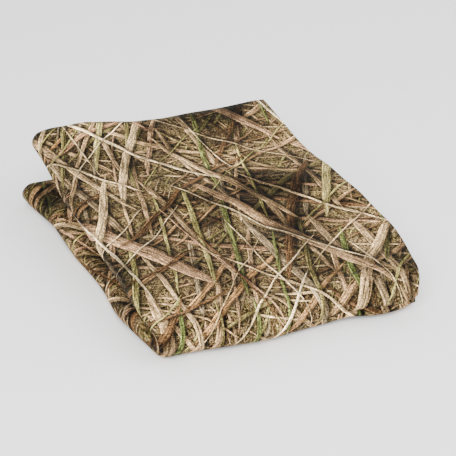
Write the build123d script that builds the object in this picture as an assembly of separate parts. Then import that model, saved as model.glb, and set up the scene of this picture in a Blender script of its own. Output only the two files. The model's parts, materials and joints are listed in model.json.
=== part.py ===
from build123d import *
import math
import os

# A folded sheet of camouflage blind cloth, in mm. +X runs along the front fold
# towards the selvedges, +Y from the front fold to the open back, +Z is up.
# The origin is on the ground under the middle of the pack.

# ---- driving dimensions ------------------------------------------------------
CLOTH_WIDTH = 1372.0     # 54 in, selvedge to selvedge
CLOTH_LENGTH = 3658.0    # 12 ft, cut end to cut end
WIDTH_PANELS = 4         # 54 in folded in half twice
LENGTH_PANELS = 8        # 12 ft folded in half three times, the last fold at the front
PLY_PITCH = 1.4          # one ply of cloth with the air that lies on it
PLIES_PER_PANEL = 4      # length plies that lie together in one panel
PANEL_GAP = 0.35         # clearance between neighbouring panels
HALF_GAP = 1.0           # clearance between the two halves at the front fold
LOFT_ANGLE = 6.0         # how far the cloth's loft holds the upper half open, degrees
SELVEDGE_WIDTH = 10.0    # the denser woven band along each long side
SELVEDGE_ROUND = 1.2
SELVEDGE_INSETS = {1: 2.0, 2: 5.0}   # how far each one sits inside the pack's right side

# ---- derived sizes -----------------------------------------------------------
PACK_WIDTH = CLOTH_WIDTH / WIDTH_PANELS
PACK_DEPTH = CLOTH_LENGTH / LENGTH_PANELS
PANEL_THICKNESS = PLY_PITCH * PLIES_PER_PANEL
PANEL_STEP = PANEL_THICKNESS + PANEL_GAP
HALF_HEIGHT = PANEL_STEP * WIDTH_PANELS - PANEL_GAP
FOLD_RADIUS = HALF_HEIGHT + HALF_GAP / 2        # outside of the front fold
LOWER_BACK_RADIUS = PANEL_THICKNESS / 4         # one fold of two plies
UPPER_BACK_RADIUS = PANEL_THICKNESS / 2         # two folds, one inside the other
FLAT_DEPTH = PACK_DEPTH - FOLD_RADIUS - LOWER_BACK_RADIUS
TURN = 180.0 - LOFT_ANGLE                       # how far the front fold turns

LEFT, RIGHT = -PACK_WIDTH / 2, PACK_WIDTH / 2
OUTER_LOOP = HALF_HEIGHT / 2                    # joins panels 1 and 4 on the left
PAIR_LOOP = (2 * PANEL_THICKNESS + PANEL_GAP) / 2   # joins two neighbouring panels
LEFT_CENTRE = LEFT + OUTER_LOOP
RIGHT_CENTRE = RIGHT - PAIR_LOOP

# The front fold's axis runs along X at this Y and Z.
AXIS_Y = -PACK_DEPTH / 2 + FOLD_RADIUS
AXIS_Z = FOLD_RADIUS
FRONT_FOLD = Axis((0, AXIS_Y, AXIS_Z), (1, 0, 0))
FOLD_AWAY = Axis((0, AXIS_Y, AXIS_Z), (-1, 0, 0))

# Sections are drawn on this plane: its x is +X, its y is +Z, its normal is -Y.
SECTION = Plane(origin=(0, AXIS_Y, 0), x_dir=(1, 0, 0), z_dir=(0, -1, 0))


def panel_bottom(number):
    """Height of a panel's underside. Panel 1 lies on the ground."""
    return (number - 1) * PANEL_STEP


def block(left, right, bottom, top):
    """A rectangle on the section plane."""
    return Pos((left + right) / 2, (bottom + top) / 2) * Rectangle(right - left, top - bottom)


def panel_section(number):
    """The flat part of one panel, between its two side folds or up to its selvedge."""
    if number in SELVEDGE_INSETS:
        right = RIGHT - SELVEDGE_INSETS[number] - SELVEDGE_WIDTH
    else:
        right = RIGHT_CENTRE
    bottom = panel_bottom(number)
    return block(LEFT_CENTRE, right, bottom, bottom + PANEL_THICKNESS)


def loop_section(centre_x, centre_z, radius, side):
    """A half ring one panel thick. side is -1 for a fold on the left, 1 on the right."""
    inside = radius - PANEL_THICKNESS
    ring = Circle(radius) - Circle(inside)
    half = Pos(side * radius, 0) * Rectangle(2 * radius, 4 * radius)
    return Pos(centre_x, centre_z) * (ring & half)


def selvedge_section(number):
    """The woven edge band of panel 1 or 2, rounded on its free side."""
    right = RIGHT - SELVEDGE_INSETS[number]
    bottom = panel_bottom(number)
    band = block(right - SELVEDGE_WIDTH, right, bottom, bottom + PANEL_THICKNESS)
    return fillet(band.vertices().group_by(Axis.X)[-1], SELVEDGE_ROUND)


SECTIONS = {
    "panel_1": panel_section(1),
    "panel_2": panel_section(2),
    "panel_3": panel_section(3),
    "panel_4": panel_section(4),
    "left_fold_outer": loop_section(LEFT_CENTRE, OUTER_LOOP, OUTER_LOOP, -1),
    "left_fold_inner": loop_section(LEFT_CENTRE, OUTER_LOOP, PAIR_LOOP, -1),
    "right_fold": loop_section(RIGHT_CENTRE, panel_bottom(3) + PAIR_LOOP, PAIR_LOOP, 1),
    "selvedge_1": selvedge_section(1),
    "selvedge_2": selvedge_section(2),
}


def lower_piece(section):
    """The section drawn out from the front fold's axis to the back, flat on the ground."""
    return extrude(SECTION * section, amount=-FLAT_DEPTH)


def front_bend(section):
    """The section carried round the front fold."""
    return revolve(SECTION * section, axis=FOLD_AWAY, revolution_arc=TURN)


def turned_over(solid):
    """A solid of the flattened upper half, turned over to where it lies at rest."""
    return solid.rotate(FRONT_FOLD, -TURN)


def upper_piece(section):
    """The section drawn out flat to the front, then turned over on top."""
    return turned_over(extrude(SECTION * section, amount=FLAT_DEPTH))


def half_roll(number, y, z, radius, side):
    """A half-round fold along X at a panel's back end. side is 1 towards +Y, -1 towards -Y."""
    left = LEFT_CENTRE
    right = RIGHT - SELVEDGE_INSETS[number] if number in SELVEDGE_INSETS else RIGHT_CENTRE
    plane = Plane(origin=(left, y, z), x_dir=(0, side, 0), z_dir=(side, 0, 0))
    half = Pos(radius, 0) * Rectangle(2 * radius, 4 * radius)
    roll = extrude(plane * (Circle(radius) & half), amount=side * (right - left))
    return roll


def lower_back_fold(number):
    """The cloth's middle fold: the two plies of a panel that lie furthest from its cut ends."""
    above = number % 2 == 1
    z = panel_bottom(number) + PANEL_THICKNESS * (0.75 if above else 0.25)
    return half_roll(number, AXIS_Y + FLAT_DEPTH, z, LOWER_BACK_RADIUS, 1)


def upper_back_fold(number):
    """The quarter folds of one panel, one inside the other, at the upper half's back."""
    z = panel_bottom(number) + PANEL_THICKNESS / 2
    return turned_over(half_roll(number, AXIS_Y - FLAT_DEPTH, z, UPPER_BACK_RADIUS, -1))


def build_nodes():
    """Every node of the pack, by name."""
    nodes = {}
    for name, section in SECTIONS.items():
        nodes["lower_" + name] = lower_piece(section)
        nodes["bend_" + name] = front_bend(section)
        nodes["upper_" + name] = upper_piece(section)
    for number in range(1, WIDTH_PANELS + 1):
        nodes[f"lower_back_fold_{number}"] = lower_back_fold(number)
        nodes[f"upper_back_fold_{number}"] = upper_back_fold(number)
    return nodes


os.makedirs("parts", exist_ok=True)
for node, shape in build_nodes().items():
    shape.label = node
    export_step(shape, f"parts/{node}.step")
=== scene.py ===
"""A sheet of reed-printed blind cloth, folded into a soft pack that opens at its front fold."""
import json
import logging
import math
from dataclasses import dataclass, field
from enum import Enum

import bpy
import numpy as np
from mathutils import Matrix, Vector


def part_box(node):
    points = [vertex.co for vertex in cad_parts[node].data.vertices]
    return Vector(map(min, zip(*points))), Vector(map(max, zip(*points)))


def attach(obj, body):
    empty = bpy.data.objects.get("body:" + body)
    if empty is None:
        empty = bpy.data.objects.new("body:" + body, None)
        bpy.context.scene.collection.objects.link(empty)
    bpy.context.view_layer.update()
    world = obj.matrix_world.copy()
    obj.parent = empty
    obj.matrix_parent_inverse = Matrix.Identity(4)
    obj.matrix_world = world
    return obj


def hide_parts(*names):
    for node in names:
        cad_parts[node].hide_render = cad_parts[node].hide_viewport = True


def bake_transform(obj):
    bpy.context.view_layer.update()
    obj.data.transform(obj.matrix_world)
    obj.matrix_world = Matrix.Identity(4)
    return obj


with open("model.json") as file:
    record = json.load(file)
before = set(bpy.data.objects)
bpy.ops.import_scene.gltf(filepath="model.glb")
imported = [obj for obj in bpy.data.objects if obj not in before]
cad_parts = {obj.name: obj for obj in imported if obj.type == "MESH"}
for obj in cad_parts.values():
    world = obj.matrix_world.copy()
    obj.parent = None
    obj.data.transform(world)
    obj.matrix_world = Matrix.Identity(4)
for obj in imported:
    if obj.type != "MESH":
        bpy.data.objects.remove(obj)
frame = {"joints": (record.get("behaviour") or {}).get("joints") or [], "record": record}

log = logging.getLogger("blind_cloth")

Points = np.ndarray
Colour = tuple[float, float, float]
Station = tuple[float, float, float]
Grid = tuple[Points, Points, Points]
Tone = tuple[float, float]
Socket = bpy.types.NodeSocket

PANELS = 4  # layers across the pack
PLIES = 4  # runs along the cloth in each half


class Half(Enum):
    """The two halves of the pack, by the body that carries each."""

    LOWER = "lower_half"
    UPPER = "upper_half"

    @property
    def word(self) -> str:
        """The word that the names of the half's own nodes start with."""
        return self.value.removesuffix("_half")


def carried(half: Half) -> list[str]:
    """Lists the CAD nodes that a half's body carries.

    Args:
        half: The lower or the upper half.

    Returns:
        The nodes' names.
    """
    return list(frame["record"]["behaviour"]["bodies"][half.value])


class Strand(Enum):
    """The four plies along the cloth's length, by how far each lies from the panel's middle."""

    FIRST = 1.5
    SECOND = -1.5
    THIRD = -0.5
    FOURTH = 0.5


# ------------------------------------------------------------------------------ the cloth's shape


@dataclass(frozen=True)
class PackSizes:
    """Sizes of the cloth and of the pack it is folded into, in metres and degrees."""

    cloth_width: float = 1.372
    cloth_length: float = 3.658
    ply_pitch: float = 0.0014
    panel_thickness: float = 0.0056
    panel_step: float = 0.00595
    loft: float = 6.0
    selvedge_insets: tuple[float, float] = (0.002, 0.005)
    cloth_thickness: float = 0.00055

    @property
    def axis(self) -> Vector:
        """A point on the front fold's hinge line."""
        return Vector(frame["joints"][0]["pos_m"])

    @property
    def side(self) -> float:
        """Half the pack's width."""
        return self.cloth_width / (2 * PANELS)

    @property
    def half_height(self) -> float:
        """How thick one half of the pack is."""
        return PANELS * self.panel_step - (self.panel_step - self.panel_thickness)

    @property
    def flat_depth(self) -> float:
        """How far the flat part of each half runs back from the hinge line."""
        low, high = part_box("lower_panel_1")
        return high[1] - low[1]


@dataclass
class WidthSection:
    """The cloth's path across the pack: along panel 1, round the left side, and back and forth."""

    sizes: PackSizes
    cell: float = 0.008
    loop_cells: tuple[int, int] = (12, 8)
    centre: Points = field(init=False)
    normal: Points = field(init=False)
    across: Points = field(init=False)

    def __post_init__(self) -> None:
        """Lays out the path's points, their left-hand normals and their place on the flat cloth."""
        s = self.sizes
        left_x = -s.side + s.half_height / 2
        pair = (s.panel_thickness + s.panel_step) / 2
        right_x = s.side - pair
        ends = [s.side - inset for inset in s.selvedge_insets]
        level = [i * s.panel_step + s.panel_thickness / 2 for i in range(PANELS)]
        outer = (level[3] - level[0]) / 2
        inner = s.panel_step / 2
        middle = s.half_height / 2
        many, few = self.loop_cells
        self._points: list[tuple[float, float, float, float]] = []
        self._run(ends[0], left_x, level[0], -1.0)
        self._turn(left_x, middle, outer, -90.0, -180.0, many)
        self._run(left_x, right_x, level[3], 1.0)
        self._turn(right_x, (level[2] + level[3]) / 2, inner, 90.0, -180.0, few)
        self._run(right_x, left_x, level[2], -1.0)
        self._turn(left_x, middle, inner, 90.0, 180.0, few)
        self._run(left_x, ends[1], level[1], 1.0, whole=True)
        rows = np.array(self._points)
        self.centre, self.normal = rows[:, :2], rows[:, 2:]
        steps = np.linalg.norm(np.diff(self.centre, axis=0), axis=1)
        length = np.concatenate([[0.0], np.cumsum(steps)])
        self.across = length / length[-1] * s.cloth_width

    def _run(self, start: float, stop: float, level: float, normal: float, whole: bool = False) -> None:
        """Adds a straight run of the path.

        Args:
            start: X where the run begins.
            stop: X where it ends.
            level: Height of the run.
            normal: Z of the left-hand normal.
            whole: Whether its last point is kept, as on the last run.
        """
        count = max(2, round(abs(stop - start) / self.cell))
        for x in np.linspace(start, stop, count + 1)[: None if whole else -1]:
            self._points.append((x, level, 0.0, normal))

    def _turn(self, x: float, z: float, radius: float, start: float, sweep: float, count: int) -> None:
        """Adds half a turn of the path round a point, leaving out its last point.

        Args:
            x: X of the turn's centre.
            z: Height of the turn's centre.
            radius: Radius of the path there.
            start: Angle of the first point, in degrees from +X towards +Z.
            sweep: How far it turns, negative when clockwise.
            count: How many steps it takes.
        """
        hand = 1.0 if sweep < 0 else -1.0
        for angle in np.radians(start + sweep * np.arange(count) / count):
            out = (math.cos(angle), math.sin(angle))
            self._points.append((x + radius * out[0], z + radius * out[1], hand * out[0], hand * out[1]))


@dataclass
class LengthPath:
    """Stations along the cloth's length: distance from the hinge line, turn, and ply offset."""

    sizes: PackSizes
    cell: float = 0.008
    bend_cells: int = 28
    loop_cells: int = 6
    margin: float = 0.012

    def flat(self, start: float, stop: float, offset: float, turned: bool) -> list[Station]:
        """Stations of a straight stretch of one half.

        Args:
            start: Distance from the hinge line at the first station.
            stop: Distance at the last station.
            offset: The ply's place in its panel, in plies.
            turned: Whether it is in the upper half.

        Returns:
            (distance, turn from 0 to 1, offset) for each station.
        """
        count = max(1, round(abs(stop - start) / self.cell))
        return [(d, float(turned), offset) for d in np.linspace(start, stop, count + 1)]

    def round_end(self, first: float, second: float, turned: bool) -> list[Station]:
        """Stations of the loop that joins two plies at a back end, without its two end points.

        Args:
            first: Offset of the ply it leaves.
            second: Offset of the ply it reaches.
            turned: Whether it is in the upper half.

        Returns:
            (distance, turn, offset) for each station.
        """
        middle, radius = (first + second) / 2, abs(first - second) / 2
        rows = []
        for i in range(1, self.loop_cells):
            angle = math.pi * i / self.loop_cells
            out = self.sizes.flat_depth + math.sin(angle) * radius * self.sizes.ply_pitch
            rows.append((out, float(turned), middle + (first - middle) * math.cos(angle)))
        return rows

    def bend(self, offset: float) -> list[Station]:
        """Stations round the front fold for one ply, with a flat margin at each end.

        Args:
            offset: The ply's place in its panel, in plies.

        Returns:
            (distance, turn, offset) for each station.
        """
        rows = [(self.margin, 0.0, offset), (self.margin / 2, 0.0, offset)]
        rows += [(0.0, i / self.bend_cells, offset) for i in range(self.bend_cells + 1)]
        return rows + [(self.margin / 2, 1.0, offset), (self.margin, 1.0, offset)]


@dataclass(frozen=True)
class Dent:
    """A soft push on the cloth: everything near a place moves a little."""

    place: tuple[float, float, float]
    reach: tuple[float, float, float]
    push: tuple[float, float, float]


def hand_dents() -> tuple[Dent, ...]:
    """Lists the pushes that give the pack its uneven outline.

    Returns:
        The pushes, in metres.
    """
    return (
        # the lower half's left side: its back corner and its middle stand out, its front is drawn in
        Dent((-0.172, 0.229, 0.010), (0.070, 0.075, 0.030), (-0.015, 0.003, 0.002)),
        Dent((-0.172, 0.075, 0.008), (0.050, 0.050, 0.022), (-0.005, 0.000, 0.000)),
        Dent((-0.172, -0.110, 0.008), (0.050, 0.060, 0.022), (-0.010, -0.002, 0.000)),
        Dent((-0.172, -0.195, 0.010), (0.050, 0.045, 0.030), (0.001, 0.001, 0.000)),
        Dent((-0.160, 0.235, 0.040), (0.055, 0.065, 0.018), (0.000, 0.000, 0.006)),
        Dent((-0.176, -0.020, 0.027), (0.030, 0.160, 0.017), (0.000, 0.000, -0.005)),
        # the upper half's back edge: a hump at its left, then lower towards the right
        Dent((-0.110, 0.235, 0.085), (0.065, 0.110, 0.035), (0.003, 0.004, 0.010)),
        Dent((0.010, 0.235, 0.090), (0.080, 0.100, 0.035), (0.000, 0.000, -0.003)),
        Dent((0.172, 0.229, 0.090), (0.150, 0.120, 0.035), (-0.001, -0.003, -0.006)),
        # the right side: out along the middle, rounded away at the front corner
        Dent((0.172, -0.130, 0.050), (0.060, 0.085, 0.050), (0.008, 0.000, 0.001)),
        Dent((0.178, -0.229, 0.018), (0.045, 0.070, 0.040), (-0.021, 0.003, 0.000)),
        # the front: forward where the cloth lies on the floor, with a crease above its lower lip
        Dent((0.125, -0.235, 0.008), (0.062, 0.050, 0.030), (0.000, -0.015, 0.000)),
        Dent((-0.055, -0.235, 0.010), (0.050, 0.050, 0.030), (0.000, -0.007, -0.001)),
        Dent((0.100, -0.232, 0.0135), (0.080, 0.030, 0.0045), (0.000, 0.010, 0.000)),
        Dent((-0.150, -0.232, 0.020), (0.080, 0.050, 0.050), (0.003, 0.007, -0.001)),
    )


@dataclass
class SoftShape:
    """What hands and gravity do to the folded cloth: waves, pulled-in corners and dents."""

    sizes: PackSizes
    seed: int = 7
    wave_height: float = 0.0011
    ripples: tuple[tuple[float, float], ...] = ((0.21, 1.0), (0.12, 0.7), (0.07, 0.42), (0.045, 0.22))
    ripples_each: int = 5
    way_shares: tuple[float, float, float] = (1.0, 1.0, 0.45)
    push_shares: tuple[float, float, float] = (0.8, 0.8, 1.0)
    floor_reach: float = 0.016
    floor_gap: float = 0.0004
    dents: tuple[Dent, ...] = ()

    def waves(self, points: Points) -> Points:
        """Low, wide undulations that neighbouring plies share.

        Args:
            points: Places in the pack, one row each.

        Returns:
            How far each place moves, one row each.
        """
        rng = np.random.default_rng(self.seed)
        moved = np.zeros_like(points)
        for wavelength, share in self.ripples:
            for _ in range(self.ripples_each):
                way = rng.normal(size=3) * self.way_shares
                way *= 2 * math.pi / wavelength / np.linalg.norm(way)
                push = rng.normal(size=3) * self.push_shares
                phase = rng.uniform(0, 2 * math.pi)
                moved += np.sin(points @ way + phase)[:, None] * push * share * self.wave_height
        return moved

    def settle(self, points: Points) -> Points:
        """Moves places in the neat pack to where they lie in the soft one.

        Args:
            points: Places in the neat pack, one row each.

        Returns:
            The same places in the soft pack.
        """
        push = self.waves(points)
        for dent in self.dents:
            near = ((points - dent.place) / dent.reach) ** 2
            push += np.exp(-near.sum(axis=1))[:, None] * np.array(dent.push)
        held_up = np.clip(points[:, 2] / self.floor_reach, 0.0, 1.0)
        push[:, 2] *= np.where(push[:, 2] < 0, held_up, 1.0)
        moved = points + push
        moved[:, 2] = np.maximum(moved[:, 2], self.floor_gap)
        return moved


@dataclass
class FoldedCloth:
    """The whole sheet, folded, made as the stretches of it that each body carries."""

    sizes: PackSizes
    section: WidthSection
    path: LengthPath
    shape: SoftShape
    least_blend: float = 0.0015

    def place(self, stations: list[Station], columns: Points) -> Points:
        """Where the cloth lies for each station and column.

        Args:
            stations: (distance from the hinge line, turn, ply offset) along the length.
            columns: Which points of the width section to use.

        Returns:
            Places, stations by columns by three.
        """
        s = self.sizes
        rows = np.array(stations)
        centre, normal = self.section.centre[columns], self.section.normal[columns]
        offset = rows[:, 2, None, None] * s.ply_pitch
        flat = centre[None] + normal[None] * offset
        x, radius = flat[..., 0], s.axis.z - flat[..., 1]
        turn = np.radians(rows[:, 1] * (180 - s.loft))[:, None]
        away = rows[:, 0][:, None] * np.where(rows[:, 1] > 0.5, -1.0, 1.0)[:, None]
        y = s.axis.y - radius * np.sin(turn) + away * np.cos(turn)
        z = s.axis.z - radius * np.cos(turn) - away * np.sin(turn)
        places = np.stack([x, y, z], axis=-1)
        return self.shape.settle(places.reshape(-1, 3)).reshape(places.shape)

    def along(self, stations: list[Station], strand: int, upward: bool, radius: Points) -> Points:
        """How far along the flat cloth each station lies, for each column.

        Args:
            stations: The stations of one ply, or of the loop at its end.
            strand: Which ply it is, counted from the cloth's first cut end.
            upward: Whether that ply runs from the lower half to the upper one.
            radius: Each column's distance from the hinge line.

        Returns:
            Metres from the first cut end, stations by columns.
        """
        s = self.sizes
        rows = np.array(stations)
        arc = radius[None] * math.radians(180 - s.loft)
        whole = 2 * s.flat_depth + arc
        distance = np.where(
            rows[:, 1, None] >= 1.0,
            s.flat_depth + arc + rows[:, 0, None],
            np.where(
                rows[:, 1, None] <= 0.0,
                s.flat_depth - rows[:, 0, None],
                s.flat_depth + arc * rows[:, 1, None],
            ),
        )
        share = distance / whole
        ply = s.cloth_length / PLIES
        return ply * (strand + (share if upward else 1 - share))

    def sheet(self, name: str, strips: list[Grid], finish: bpy.types.Material) -> bpy.types.Object:
        """Makes one piece of cloth from grids of places.

        Args:
            name: The piece's name.
            strips: For each grid: places, cloth X and cloth Y, stations by columns.
            finish: The printed cloth.

        Returns:
            The finished piece.
        """
        verts, faces, flat = [], [], []
        start = 0
        for places, across, along in strips:
            rows, columns = places.shape[:2]
            verts.append(places.reshape(-1, 3))
            flat.append(np.stack([across, along], axis=-1).reshape(-1, 2))
            index = start + np.arange(rows * columns).reshape(rows, columns)
            corners = np.stack([index[:-1, :-1], index[:-1, 1:], index[1:, 1:], index[1:, :-1]], axis=-1)
            faces.append(corners.reshape(-1, 4))
            start += rows * columns
        verts, faces, flat = np.concatenate(verts), np.concatenate(faces), np.concatenate(flat)
        mesh = bpy.data.meshes.new(name)
        mesh.from_pydata(verts.tolist(), [], faces.tolist())
        layer = mesh.uv_layers.new(name="Cloth")
        layer.data.foreach_set("uv", flat[faces.ravel()].astype(np.float32).ravel())
        mesh.polygons.foreach_set("use_smooth", np.ones(len(faces), bool))
        mesh.materials.append(finish)
        mesh.update()
        piece = bpy.data.objects.new(name, mesh)
        bpy.context.scene.collection.objects.link(piece)
        log.info("%s: %d faces", name, len(faces))
        return piece

    def thicken(self, piece: bpy.types.Object) -> None:
        """Gives a piece of cloth its thickness.

        Args:
            piece: A sheet of faces that lies in the middle of the cloth.
        """
        bpy.ops.object.select_all(action="DESELECT")
        piece.select_set(True)
        bpy.context.view_layer.objects.active = piece
        wall = piece.modifiers.new("Thickness", "SOLIDIFY")
        wall.thickness = self.sizes.cloth_thickness
        wall.offset = 0.0
        bpy.ops.object.modifier_apply(modifier=wall.name)

    def build(self, finish: bpy.types.Material) -> None:
        """Makes the two halves and the front bends.

        Args:
            finish: The printed cloth.
        """
        s, p = self.sizes, self.path
        plies = list(Strand)
        every = np.arange(len(self.section.across))
        upward = [True, False, True, False]
        far, near = s.flat_depth, p.margin

        lower, upper = [], []
        for number, ply in enumerate(plies):
            for turned, strips in ((False, lower), (True, upper)):
                stations = p.flat(far, near, ply.value, turned)
                strips.append(self._strip(stations, every, number, upward[number]))
        lower.append(self._loop(Strand.SECOND, Strand.THIRD, 2, False, every))
        upper.append(self._loop(Strand.FIRST, Strand.SECOND, 1, True, every))
        upper.append(self._loop(Strand.THIRD, Strand.FOURTH, 3, True, every))
        for half, strips in ((Half.LOWER, lower), (Half.UPPER, upper)):
            piece = self.sheet(f"{half.word}_cloth", strips, finish)
            self.thicken(piece)
            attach(piece, half.value)
            nodes = [n for n in carried(half) if n.startswith(half.word)]
            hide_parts(*nodes)
        self._bends(finish, plies, upward)

    def _strip(self, stations: list[Station], columns: Points, number: int, upward: bool) -> Grid:
        """One grid of cloth: its places and where they are on the flat sheet.

        Args:
            stations: The stations of one ply.
            columns: The columns it spans.
            number: Which ply it is, counted from the cloth's first cut end.
            upward: Whether the ply runs from the lower half to the upper one.

        Returns:
            Places, cloth X and cloth Y, stations by columns.
        """
        places = self.place(stations, columns)
        radius = self.sizes.axis.z - self.section.centre[columns, 1]
        along = self.along(stations, number, upward, radius)
        across = np.broadcast_to(self.section.across[columns][None], along.shape)
        return places, across, along

    def _loop(self, first: Strand, second: Strand, joined: int, turned: bool, columns: Points) -> Grid:
        """The loop that joins two plies at the back of a half.

        Args:
            first: The ply it leaves.
            second: The ply it reaches.
            joined: How many plies of the cloth come before the loop.
            turned: Whether it is in the upper half.
            columns: The columns it spans.

        Returns:
            Places, cloth X and cloth Y, stations by columns.
        """
        s = self.sizes
        stations = self.path.round_end(first.value, second.value, turned)
        stations.insert(0, (s.flat_depth, float(turned), first.value))
        stations.append((s.flat_depth, float(turned), second.value))
        places = self.place(stations, columns)
        half_turn = math.pi * abs(first.value - second.value) / 2 * s.ply_pitch
        v = joined * s.cloth_length / PLIES + np.linspace(-half_turn, half_turn, len(stations)) / 2
        along = np.broadcast_to(v[:, None], places.shape[:2])
        across = np.broadcast_to(self.section.across[columns][None], along.shape)
        return places, across, along

    def _bends(self, finish: bpy.types.Material, plies: list[Strand], upward: list[bool]) -> None:
        """Makes the front fold, one nest of bends for each panel.

        Args:
            finish: The printed cloth.
            plies: The four plies, in order along the cloth.
            upward: Whether each runs from the lower half to the upper one.
        """
        s = self.sizes
        radius = s.axis.z - self.section.centre[:, 1]
        owned = {
            1: ["bend_panel_1", "bend_selvedge_1", "bend_left_fold_outer"],
            2: ["bend_panel_2", "bend_selvedge_2", "bend_left_fold_inner"],
            3: ["bend_panel_3", "bend_right_fold"],
            4: ["bend_panel_4"],
        }
        for panel, replaced in owned.items():
            low = s.axis.z - panel * s.panel_step
            inside = (radius > low) & (radius <= low + s.panel_step)
            strips = []
            for columns in self._groups(inside):
                for number, ply in enumerate(plies):
                    strips.append(self._strip(self.path.bend(ply.value), columns, number, upward[number]))
            piece = self.sheet(f"front_bend_{panel}", strips, finish)
            self.thicken(piece)
            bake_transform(piece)
            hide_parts(*replaced)

    @staticmethod
    def _groups(inside: Points) -> list[Points]:
        """Splits the chosen columns into unbroken groups that share their border columns.

        Args:
            inside: Whether each column is chosen.

        Returns:
            The column numbers of each group.
        """
        groups, current = [], []
        for column in range(len(inside) - 1):
            if inside[column]:
                current.append(column)
            elif current:
                groups.append(np.array(current + [column]))
                current = []
        if current:
            groups.append(np.array(current + [len(inside) - 1]))
        return groups


# ------------------------------------------------------------------------------ the print


class NodeDesk:
    """Adds and joins nodes in one node tree."""

    def __init__(self, tree: bpy.types.NodeTree) -> None:
        """Keeps the tree that the nodes go into."""
        self.tree = tree

    def add(self, kind: str, **settings: object) -> bpy.types.Node:
        """Adds a node.

        Args:
            kind: The node's type.
            settings: Properties to set on it.

        Returns:
            The node.
        """
        node = self.tree.nodes.new(kind)
        for name, value in settings.items():
            setattr(node, name, value)
        return node

    def join(self, socket: Socket, value: object) -> None:
        """Links an input to another socket, or sets it.

        Args:
            socket: The input.
            value: An output to link it to, or its own number or colour.
        """
        if isinstance(value, Socket):
            self.tree.links.new(value, socket)
        elif isinstance(value, tuple) and len(value) == 3 and socket.type == "RGBA":
            socket.default_value = (*value, 1.0)
        else:
            socket.default_value = value

    def fed(self, kind: str, values: tuple[object, ...], **settings: object) -> bpy.types.Node:
        """Adds a node and joins its inputs in their order.

        Args:
            kind: The node's type.
            values: Sockets or numbers for its inputs, from the first on.
            settings: Properties to set on it.

        Returns:
            The node.
        """
        node = self.add(kind, **settings)
        for socket, value in zip(node.inputs, values):
            self.join(socket, value)
        return node

    def math(self, operation: str, *values: object, clamp: bool = False) -> Socket:
        """Adds a Math node.

        Args:
            operation: What it works out.
            values: Its inputs, sockets or numbers.
            clamp: Whether the result is kept from 0 to 1.

        Returns:
            Its result.
        """
        return self.fed("ShaderNodeMath", values, operation=operation, use_clamp=clamp).outputs[0]

    def toned(self, value: Socket, tone: Tone) -> Socket:
        """Multiplies a value and adds to it.

        Args:
            value: The value.
            tone: What it is multiplied by, and what is added.

        Returns:
            The result.
        """
        return self.math("MULTIPLY_ADD", value, *tone)

    def shuffled(self, value: Socket, by: float) -> Socket:
        """Makes another random value from 0 to 1 out of one.

        Args:
            value: The first random value.
            by: How far it is spread before its whole part is dropped.

        Returns:
            The other value.
        """
        return self.math("FRACT", self.math("MULTIPLY", value, by))

    def parts(self, value: Socket) -> list[Socket]:
        """Takes a vector apart.

        Args:
            value: The vector.

        Returns:
            Its three values.
        """
        return list(self.fed("ShaderNodeSeparateXYZ", (value,)).outputs)

    def vector_math(self, operation: str, *values: object) -> Socket:
        """Adds a Vector Math node.

        Args:
            operation: What it works out.
            values: Its inputs, sockets or vectors.

        Returns:
            Its result.
        """
        return self.fed("ShaderNodeVectorMath", values, operation=operation).outputs[0]

    def mix(self, share: object, first: object, second: object, blend: str = "MIX") -> Socket:
        """Mixes two colours.

        Args:
            share: How much of the second colour shows.
            first: The colour beneath.
            second: The colour on top.
            blend: How they mix.

        Returns:
            The mixed colour.
        """
        node = self.add("ShaderNodeMix", data_type="RGBA", blend_type=blend)
        for socket, value in zip((node.inputs[0], node.inputs[6], node.inputs[7]), (share, first, second)):
            self.join(socket, value)
        return node.outputs[2]

    def vector(self, x: object, y: object, z: object = 0.0) -> Socket:
        """Puts three values together as a vector.

        Args:
            x: First value.
            y: Second value.
            z: Third value.

        Returns:
            The vector.
        """
        return self.fed("ShaderNodeCombineXYZ", (x, y, z)).outputs[0]

    def grey(self, value: object) -> Socket:
        """Makes a grey colour.

        Args:
            value: How light it is.

        Returns:
            The colour.
        """
        return self.fed("ShaderNodeCombineColor", (value, value, value)).outputs[0]

    def noise(self, place: Socket, scale: float, detail: float = 2.0, roughness: float = 0.5,
              distortion: float = 0.0) -> Socket:
        """Adds a noise texture.

        Args:
            place: Where it is read.
            scale: Waves to the metre.
            detail: How many finer layers it has.
            roughness: How strong the finer layers are.
            distortion: How much it twists.

        Returns:
            Its value.
        """
        node = self.add("ShaderNodeTexNoise", noise_dimensions="2D")
        for name, value in (("Vector", place), ("Scale", scale), ("Detail", detail),
                            ("Roughness", roughness), ("Distortion", distortion)):
            self.join(node.inputs[name], value)
        return node.outputs["Fac"]

    def ramp(self, value: object, stops: list[tuple[float, Colour]]) -> Socket:
        """Adds a colour ramp.

        Args:
            value: Where the ramp is read.
            stops: Position and colour of each stop.

        Returns:
            Its colour.
        """
        node = self.add("ShaderNodeValToRGB")
        bar = node.color_ramp.elements
        while len(bar) < len(stops):
            bar.new(0.5)
        for stop, (position, colour) in zip(bar, stops):
            stop.position = position
            stop.color = (*colour, 1.0)
        self.join(node.inputs[0], value)
        return node.outputs[0]


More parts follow.
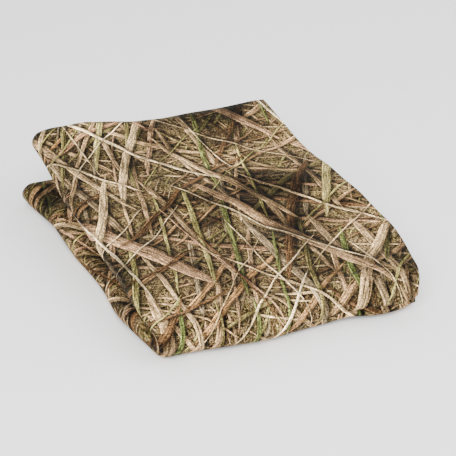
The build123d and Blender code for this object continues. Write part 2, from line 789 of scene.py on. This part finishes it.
def new_group(name: str, inputs: list[tuple[str, str]], outputs: list[tuple[str, str]]) -> tuple:
    """Starts a shader node group with named sockets.

    Args:
        name: The group's name.
        inputs: Name and kind of each input.
        outputs: Name and kind of each output.

    Returns:
        The group, its desk, its input sockets by name and its output sockets by name.
    """
    kinds = {"colour": "NodeSocketColor", "vector": "NodeSocketVector", "value": "NodeSocketFloat"}
    tree = bpy.data.node_groups.new(name, "ShaderNodeTree")
    for socket, kind in inputs:
        tree.interface.new_socket(socket, in_out="INPUT", socket_type=kinds[kind])
    for socket, kind in outputs:
        tree.interface.new_socket(socket, in_out="OUTPUT", socket_type=kinds[kind])
    desk = NodeDesk(tree)
    into, out = desk.add("NodeGroupInput"), desk.add("NodeGroupOutput")
    return tree, desk, {s.name: s for s in into.outputs}, {s.name: s for s in out.inputs}


class ReedColour(Enum):
    """The print's own dyes."""

    CREAM = (0.80, 0.70, 0.50)
    BUFF = (0.59, 0.47, 0.30)
    TAN = (0.43, 0.32, 0.195)
    PINK_TAN = (0.41, 0.285, 0.19)
    RED_BROWN = (0.27, 0.155, 0.10)
    ORANGE_BROWN = (0.36, 0.225, 0.11)
    BROWN = (0.15, 0.096, 0.052)
    DARK = (0.046, 0.028, 0.013)
    OLIVE = (0.20, 0.175, 0.085)
    GREEN = (0.155, 0.190, 0.072)
    STRAW_GREEN = (0.37, 0.345, 0.155)
    GREY = (0.27, 0.225, 0.155)


@dataclass(frozen=True)
class BladeLayer:
    """One layer of reed blades in the print, in metres and degrees."""

    angle: float
    lane: float
    reach: float
    width: float
    density: float
    colours: tuple[ReedColour, ReedColour, ReedColour]
    lean: float = 0.22
    kink: float = 0.14
    soft: float = 0.0004
    shadow: float = 0.65


@dataclass(frozen=True)
class BladeLook:
    """How every blade is drawn, whatever its layer; lengths are in metres."""

    seed_step: float = 0.731
    lane_slip: float = 9.0
    drift: float = 4.0
    bend_from: float = 0.04
    bend: Tone = (4.0, -2.0)
    scatter: float = 0.25
    taper: float = 5.0
    girth: Tone = (0.9, 0.45)
    grain_across: float = 480.0
    grain_along: float = 34.0
    grain_detail: float = 4.0
    grain_roughness: float = 0.72
    fray: float = 0.0015
    fade: Tone = (0.35, 0.8)
    thinnest: float = 0.0002
    third_above: float = 0.72
    grain_shade: Tone = (5.0, -1.5)
    darkest_grain: float = 0.12
    side_light: Tone = (0.25, 0.95)
    rim_power: float = 3.0
    rim: Tone = (-0.6, 1.0)
    shine_power: float = 4.0
    shine: Tone = (0.45, 1.0)
    blotch: Tone = (1.6, 0.22)
    skirt_share: float = 0.35
    skirt_least: float = 0.0015
    skirt_slip: float = 0.35
    spreads: tuple[float, float, float, float] = (13.7, 31.3, 57.3, 91.7)
    nudge: float = 1e-7


class BladeGroup:
    """The node group that lays one layer of blades over the colours beneath it."""

    INPUTS = [
        ("Under", "colour"), ("Place", "vector"), ("Angle", "value"), ("Lane", "value"), ("Reach", "value"),
        ("Width", "value"), ("Density", "value"), ("Lean", "value"), ("Kink", "value"), ("Soft", "value"),
        ("Shadow", "value"), ("Seed", "value"), ("Blotch", "value"),
        ("First", "colour"), ("Second", "colour"), ("Third", "colour"),
    ]
    OUTPUTS = [("Colour", "colour"), ("Place", "vector")]

    def __init__(self, look: BladeLook) -> None:
        """Builds the group.

        Args:
            look: How the blades are drawn.
        """
        self.tree, d, i, o = new_group("Reed blades", self.INPUTS, self.OUTPUTS)
        girth_spread, fade_spread, dye_spread, third_spread = look.spreads
        turned = d.add("ShaderNodeVectorRotate", rotation_type="Z_AXIS")
        d.join(turned.inputs["Vector"], i["Place"])
        d.join(turned.inputs["Angle"], i["Angle"])
        side, y, _ = d.parts(turned.outputs[0])
        x = d.math("ADD", side, d.math("MULTIPLY", i["Seed"], look.seed_step))

        # each lane is cut into cells, and each cell holds one blade or none
        across = d.math("DIVIDE", x, i["Lane"])
        lane = d.math("FLOOR", across)
        lane_place = d.math("SUBTRACT", d.math("SUBTRACT", across, lane), 0.5)
        lane_noise = d.add("ShaderNodeTexWhiteNoise", noise_dimensions="2D")
        d.join(lane_noise.inputs["Vector"], d.vector(lane, i["Seed"]))
        slip = d.math("MULTIPLY", lane_noise.outputs[0], look.lane_slip)
        along = d.math("ADD", d.math("DIVIDE", y, i["Reach"]), slip)
        cell = d.math("FLOOR", along)
        cell_place = d.math("SUBTRACT", d.math("SUBTRACT", along, cell), 0.5)
        cell_noise = d.add("ShaderNodeTexWhiteNoise", noise_dimensions="3D")
        d.join(cell_noise.inputs["Vector"], d.vector(lane, cell, i["Seed"]))
        red, green, blue = d.fed("ShaderNodeSeparateColor", (cell_noise.outputs["Color"],)).outputs
        value = cell_noise.outputs["Value"]

        # the blade's middle line, its width and its frayed outline
        present = d.math("LESS_THAN", red, i["Density"])
        drift = d.math("MULTIPLY", d.math("MULTIPLY", d.math("SUBTRACT", green, 0.5), i["Lean"]),
                       d.math("MULTIPLY", cell_place, look.drift))
        past = d.math("MAXIMUM", d.math("SUBTRACT", cell_place, look.bend_from), 0.0)
        bent = d.math("MULTIPLY", d.math("MULTIPLY", past, i["Kink"]), d.toned(value, look.bend))
        middle = d.math("ADD", d.math("ADD", drift, bent),
                        d.math("MULTIPLY", d.math("SUBTRACT", blue, 0.5), look.scatter))
        offset = d.math("MULTIPLY", d.math("SUBTRACT", lane_place, middle), i["Lane"])
        tip = d.math("POWER", d.math("ABSOLUTE", d.math("MULTIPLY", cell_place, 2.0)), look.taper)
        girth = d.toned(d.shuffled(value, girth_spread), look.girth)
        half = d.math("MULTIPLY", d.math("MULTIPLY", i["Width"], 0.5), girth)
        half = d.math("MULTIPLY", half, d.math("SUBTRACT", 1.0, tip))
        threads = d.vector(d.math("MULTIPLY", offset, look.grain_across),
                           d.math("MULTIPLY", y, look.grain_along))
        grain = d.noise(threads, 1.0, detail=look.grain_detail, roughness=look.grain_roughness)
        frayed = d.math("MULTIPLY_ADD", d.math("SUBTRACT", grain, 0.5), look.fray, half)
        inside = d.math("SUBTRACT", frayed, d.math("ABSOLUTE", offset))
        mask = d.math("MULTIPLY", d.math("DIVIDE", inside, i["Soft"], clamp=True), present)
        faded = d.math("MULTIPLY_ADD", d.shuffled(blue, fade_spread), *look.fade, clamp=True)
        mask = d.math("MULTIPLY", mask, faded)

        # its dye, and its shade from one side to the other
        lit = d.math("DIVIDE", offset, d.math("MAXIMUM", half, look.thinnest))
        lit = d.math("MINIMUM", d.math("MAXIMUM", lit, -1.0), 1.0)
        pick = d.shuffled(red, dye_spread)
        other = d.math("GREATER_THAN", d.shuffled(green, third_spread), look.third_above)
        colour = d.mix(other, d.mix(pick, i["First"], i["Second"]), i["Third"])
        rim = d.math("POWER", d.math("MAXIMUM", d.math("MULTIPLY", lit, -1.0), 0.0), look.rim_power)
        shine = d.math("POWER", d.math("MAXIMUM", lit, 0.0), look.shine_power)
        shade = d.math("MAXIMUM", d.toned(grain, look.grain_shade), look.darkest_grain)
        for light, tone in ((lit, look.side_light), (rim, look.rim), (shine, look.shine),
                            (i["Blotch"], look.blotch)):
            shade = d.math("MULTIPLY", shade, d.toned(light, tone))
        colour = d.mix(1.0, colour, d.grey(shade), "MULTIPLY")

        # its shadow on what lies beneath
        skirt = d.math("ADD", d.math("MULTIPLY", i["Width"], look.skirt_share), look.skirt_least)
        beside = d.math("ABSOLUTE", d.math("ADD", offset, d.math("MULTIPLY", skirt, look.skirt_slip)))
        dark = d.math("DIVIDE", d.math("SUBTRACT", d.math("ADD", half, skirt), beside), skirt, clamp=True)
        dark = d.math("MULTIPLY", d.math("MULTIPLY", dark, present), i["Shadow"])
        keep = d.math("SUBTRACT", 1.0, d.math("MULTIPLY", dark, d.math("SUBTRACT", 1.0, tip)))
        under = d.mix(1.0, i["Under"], d.grey(keep), "MULTIPLY")
        laid = d.mix(mask, under, colour)
        d.join(o["Colour"], laid)
        # Less than a micron: it only makes the renderer finish one layer before it starts the next,
        # because so many layers at once don't fit in its working memory.
        nudge = (look.nudge, look.nudge, 0.0)
        d.join(o["Place"], d.vector_math("MULTIPLY_ADD", laid, nudge, i["Place"]))


@dataclass(frozen=True)
class Mottle:
    """Lighter and darker spots over the whole print; scale is in spots to the metre."""

    scale: float
    roughness: float
    tone: Tone
    darkest: float
    detail: float = 3.0

    def lay(self, d: NodeDesk, place: Socket) -> Socket:
        """Adds the spots.

        Args:
            d: The desk of the material.
            place: Coordinates on the flat cloth.

        Returns:
            What the colours are multiplied by.
        """
        spots = d.noise(place, self.scale, detail=self.detail, roughness=self.roughness)
        return d.math("MAXIMUM", d.toned(spots, self.tone), self.darkest)


@dataclass(frozen=True)
class ReedPrint:
    """Printed cloth: dry reeds and grass over dark litter, on a plain weave."""

    cloth_width: float
    layers: tuple[BladeLayer, ...]
    name: str = "Printed cloth"
    blade_look: BladeLook = BladeLook()
    roughness: float = 0.92
    sheen: float = 0.015
    gloss: float = 0.06
    depth: float = 1.3
    tint: Colour = (0.76, 0.70, 0.62)
    zone_shift: tuple[float, float, float] = (0.07, 0.0, 0.0)
    litter_patch: float = 11.0
    litter_crumb: float = 330.0
    litter_hue: float = 23.0
    patch_share: float = 0.35
    crumb_drop: float = 0.17
    chaff_sizes: tuple[tuple[tuple[float, float], ReedColour], ...] = (
        ((150.0, 45.0), ReedColour.BUFF),
        ((55.0, 180.0), ReedColour.STRAW_GREEN),
        ((125.0, 100.0), ReedColour.BUFF),
    )
    chaff_fineness: float = 42.0
    chaff_cover: float = 0.7
    blotch_scale: float = 210.0
    slub_scale: float = 420.0
    zones: Mottle = Mottle(9.4, 0.6, (3.9, -0.9), 0.35)
    specks: Mottle = Mottle(560.0, 0.7, (4.4, -1.15), 0.12)
    wander_scale: float = 3.0
    wander: float = 0.04
    weave_pitch: float = 0.0011
    selvedge: float = 0.010
    selvedge_edge: float = 0.0008
    selvedge_rib: Tone = (1.2, 1.5)
    bump_strength: float = 0.35
    bump_height: float = 0.0003

    def litter(self, d: NodeDesk, place: Socket) -> Socket:
        """The dark leaf litter behind the blades.

        Args:
            d: The desk of the material.
            place: Coordinates on the flat cloth.

        Returns:
            Its colour.
        """
        patch = d.noise(place, self.litter_patch)
        crumbs = d.noise(place, self.litter_crumb, detail=6.0, roughness=0.72)
        hue = d.noise(place, self.litter_hue, detail=3.0, roughness=0.6)
        level = d.math("MULTIPLY_ADD", patch, self.patch_share, d.math("SUBTRACT", crumbs, self.crumb_drop))
        colour = d.ramp(level, [
            (0.42, (0.020, 0.012, 0.006)), (0.51, ReedColour.DARK.value), (0.575, ReedColour.BROWN.value),
            (0.64, ReedColour.GREY.value), (0.71, ReedColour.BUFF.value),
        ])
        olive = d.ramp(hue, [(0.42, (1.0, 0.96, 0.98)), (0.6, (0.90, 1.04, 0.74))])
        colour = d.mix(1.0, colour, olive, "MULTIPLY")
        for stretch, dye in self.chaff_sizes:
            colour = d.mix(self.chaff(d, place, stretch), colour, dye.value)
        return colour

    def chaff(self, d: NodeDesk, place: Socket, stretch: tuple[float, float]) -> Socket:
        """Fine threads of dry grass in the litter.

        Args:
            d: The desk of the material.
            place: Coordinates on the flat cloth.
            stretch: Threads to the metre, along each side of the cloth.

        Returns:
            How much of the threads' colour shows, from 0 to 1.
        """
        sides = zip(d.parts(place), stretch)
        across = d.vector(*(d.math("MULTIPLY", side, share) for side, share in sides))
        fluff = d.noise(across, 1.0, detail=4.0, roughness=0.62, distortion=0.5)
        line = d.math("MULTIPLY", d.math("ABSOLUTE", d.math("SUBTRACT", fluff, 0.5)), self.chaff_fineness)
        return d.math("MULTIPLY", d.math("SUBTRACT", 1.0, line, clamp=True), self.chaff_cover)

    def make(self) -> bpy.types.Material:
        """Builds the material.

        Returns:
            The printed cloth's material.
        """
        material = bpy.data.materials.new(self.name)
        material.use_nodes = True
        material.node_tree.nodes.clear()
        d = NodeDesk(material.node_tree)
        out = d.add("ShaderNodeOutputMaterial")
        shader = d.add("ShaderNodeBsdfPrincipled")
        d.join(out.inputs["Surface"], shader.outputs[0])
        shader.inputs["Roughness"].default_value = self.roughness
        shader.inputs["Sheen Weight"].default_value = self.sheen
        shader.inputs["Specular IOR Level"].default_value = self.gloss

        flat = d.add("ShaderNodeUVMap", uv_map="Cloth").outputs[0]
        wander = d.add("ShaderNodeTexNoise", noise_dimensions="2D")
        wander.inputs["Scale"].default_value = self.wander_scale
        wander.inputs["Detail"].default_value = 0.0
        d.join(wander.inputs["Vector"], flat)
        reach = (self.wander, self.wander, 0.0)
        place = d.vector_math("MULTIPLY_ADD", wander.outputs["Color"], reach, flat)

        colour = self.litter(d, flat)
        blotch = d.noise(flat, self.blotch_scale, detail=4.0, roughness=0.7)
        blades = BladeGroup(self.blade_look)
        for seed, layer in enumerate(self.layers, 1):
            node = d.add("ShaderNodeGroup", node_tree=blades.tree)
            values = {
                "Under": colour, "Place": place, "Angle": math.radians(layer.angle), "Lane": layer.lane,
                "Reach": layer.reach, "Width": layer.width, "Density": layer.density, "Lean": layer.lean,
                "Kink": layer.kink, "Soft": layer.soft, "Shadow": layer.shadow, "Seed": float(seed),
                "Blotch": blotch,
            }
            values.update(zip(("First", "Second", "Third"), (dye.value for dye in layer.colours)))
            for name, value in values.items():
                d.join(node.inputs[name], value)
            colour, place = node.outputs["Colour"], node.outputs["Place"]
        speck = self.specks.lay(d, flat)
        zone = self.zones.lay(d, d.vector_math("ADD", flat, self.zone_shift))
        colour = d.mix(1.0, colour, d.grey(d.math("MULTIPLY", speck, zone)), "MULTIPLY")
        deep = d.fed("ShaderNodeGamma", (colour, self.depth)).outputs[0]
        colour = d.mix(1.0, deep, self.tint, "MULTIPLY")
        d.join(shader.inputs["Base Color"], colour)

        width, length, _ = d.parts(flat)
        turns = 2 * math.pi / self.weave_pitch
        warp = d.math("SINE", d.math("MULTIPLY", width, turns))
        weft = d.math("SINE", d.math("MULTIPLY", length, turns))
        slub = d.noise(flat, self.slub_scale)
        height = d.math("MULTIPLY_ADD", d.math("MULTIPLY", warp, weft), 0.5, slub)
        edge = d.math("MINIMUM", width, d.math("SUBTRACT", self.cloth_width, width))
        band = d.math("DIVIDE", d.math("SUBTRACT", self.selvedge, edge), self.selvedge_edge, clamp=True)
        height = d.math("ADD", height, d.math("MULTIPLY", band, d.toned(warp, self.selvedge_rib)))
        bump = d.add("ShaderNodeBump")
        bump.inputs["Strength"].default_value = self.bump_strength
        bump.inputs["Distance"].default_value = self.bump_height
        d.join(bump.inputs["Height"], height)
        d.join(shader.inputs["Normal"], bump.outputs[0])
        return material


def reed_layers() -> tuple[BladeLayer, ...]:
    """Lists the print's blade layers.

    Returns:
        The layers, from just above the litter up to the reeds that lie on top.
    """
    c = ReedColour
    return (
        BladeLayer(12, 0.010, 0.060, 0.0028, 0.60, (c.BROWN, c.OLIVE, c.TAN), shadow=0.4),
        BladeLayer(-38, 0.010, 0.070, 0.0028, 0.60, (c.BROWN, c.GREY, c.STRAW_GREEN), shadow=0.4),
        BladeLayer(71, 0.011, 0.075, 0.0028, 0.55, (c.OLIVE, c.TAN, c.BUFF), shadow=0.4),
        BladeLayer(-76, 0.020, 0.120, 0.0050, 0.45, (c.BROWN, c.TAN, c.OLIVE)),
        BladeLayer(36, 0.024, 0.150, 0.0058, 0.45, (c.TAN, c.OLIVE, c.BROWN)),
        BladeLayer(-20, 0.026, 0.170, 0.0070, 0.50, (c.PINK_TAN, c.TAN, c.GREY)),
        BladeLayer(58, 0.036, 0.190, 0.0074, 0.38, (c.BROWN, c.PINK_TAN, c.TAN)),
        BladeLayer(-56, 0.036, 0.210, 0.0074, 0.42, (c.ORANGE_BROWN, c.TAN, c.OLIVE)),
        BladeLayer(4, 0.040, 0.240, 0.0092, 0.48, (c.TAN, c.GREY, c.OLIVE)),
        BladeLayer(-14, 0.046, 0.220, 0.0066, 0.64, (c.GREEN, c.OLIVE, c.STRAW_GREEN)),
        BladeLayer(-32, 0.056, 0.280, 0.0100, 0.42, (c.TAN, c.BUFF, c.BROWN)),
        BladeLayer(28, 0.170, 0.330, 0.0260, 0.50, (c.TAN, c.PINK_TAN, c.TAN), lean=0.15, kink=0.05),
        BladeLayer(-64, 0.080, 0.300, 0.0074, 0.42, (c.RED_BROWN, c.TAN, c.BROWN)),
        BladeLayer(20, 0.070, 0.270, 0.0076, 0.42, (c.BUFF, c.TAN, c.PINK_TAN)),
        BladeLayer(-24, 0.075, 0.300, 0.0086, 0.42, (c.BUFF, c.STRAW_GREEN, c.CREAM)),
        BladeLayer(40, 0.080, 0.320, 0.0060, 0.40, (c.BUFF, c.CREAM, c.BUFF)),
        BladeLayer(-48, 0.044, 0.250, 0.0030, 0.55, (c.CREAM, c.BUFF, c.STRAW_GREEN), shadow=0.4),
        BladeLayer(8, 0.040, 0.230, 0.0030, 0.55, (c.CREAM, c.BUFF, c.BROWN), shadow=0.4),
    )


# ------------------------------------------------------------------------------ the studio


@dataclass(frozen=True)
class Lamp:
    """A square soft light: its side is in metres and its power in watts."""

    name: str
    place: tuple[float, float, float]
    side: float
    power: float


@dataclass(frozen=True)
class Studio:
    """A pale floor, soft lights and the camera, in metres and degrees."""

    azimuth: float = -24.3
    elevation: float = 27.3
    distance: float = 1.9
    target: tuple[float, float, float] = (0.0, 0.0, 0.042)
    lens: float = 119.3
    shift: tuple[float, float] = (0.0197, -0.0153)
    floor_side: float = 30.0
    floor_grey: float = 0.90
    floor_roughness: float = 0.9
    sky: float = 1.15
    lamps: tuple[Lamp, ...] = (
        Lamp("Key", (-1.3, -2.0, 1.7), 1.8, 150.0),
        Lamp("Fill", (2.0, -1.2, 1.5), 2.4, 75.0),
        Lamp("Back", (0.4, 2.2, 2.2), 2.0, 30.0),
    )

    def floor(self) -> None:
        """Adds the pale floor that the pack lies on."""
        bpy.ops.mesh.primitive_plane_add(size=self.floor_side, location=(0, 0, 0))
        floor = bpy.context.active_object
        floor.name = "Floor"
        pale = bpy.data.materials.new("Pale floor")
        pale.use_nodes = True
        shader = pale.node_tree.nodes["Principled BSDF"]
        shader.inputs["Base Color"].default_value = (*[self.floor_grey] * 3, 1.0)
        shader.inputs["Roughness"].default_value = self.floor_roughness
        floor.data.materials.append(pale)

    def light(self, lamp: Lamp) -> None:
        """Adds a lamp that faces the pack.

        Args:
            lamp: Its place, size and power.
        """
        data = bpy.data.lights.new(lamp.name, "AREA")
        data.size, data.energy = lamp.side, lamp.power
        light = bpy.data.objects.new(lamp.name, data)
        light.location = lamp.place
        light.rotation_euler = (-Vector(lamp.place)).to_track_quat("-Z", "Y").to_euler()
        bpy.context.scene.collection.objects.link(light)

    def camera(self) -> None:
        """Adds the camera and makes it the scene's own."""
        a, e = math.radians(self.azimuth), math.radians(self.elevation)
        way = Vector((math.sin(a) * math.cos(e), -math.cos(a) * math.cos(e), math.sin(e)))
        data = bpy.data.cameras.new("Camera")
        data.lens = self.lens
        data.shift_x, data.shift_y = self.shift
        camera = bpy.data.objects.new("Camera", data)
        camera.location = Vector(self.target) + way * self.distance
        camera.rotation_euler = way.to_track_quat("Z", "Y").to_euler()
        bpy.context.scene.collection.objects.link(camera)
        bpy.context.scene.camera = camera

    def build(self) -> None:
        """Sets up the floor, lights, world and camera."""
        self.floor()
        for lamp in self.lamps:
            self.light(lamp)
        world = bpy.data.worlds.new("Studio")
        world.use_nodes = True
        background = world.node_tree.nodes["Background"]
        background.inputs["Color"].default_value = (1.0, 1.0, 1.0, 1.0)
        background.inputs["Strength"].default_value = self.sky
        bpy.context.scene.world = world
        self.camera()


def main() -> None:
    """Builds the cloth and the studio."""
    logging.basicConfig(level=logging.INFO, format="%(message)s")
    bpy.ops.object.select_all(action="DESELECT")
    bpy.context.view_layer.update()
    sizes = PackSizes()
    studio = Studio()
    studio.build()
    finish = ReedPrint(sizes.cloth_width, reed_layers()).make()
    cloth = FoldedCloth(sizes, WidthSection(sizes), LengthPath(sizes), SoftShape(sizes, dents=hand_dents()))
    cloth.build(finish)


if __name__ == "__main__":
    main()
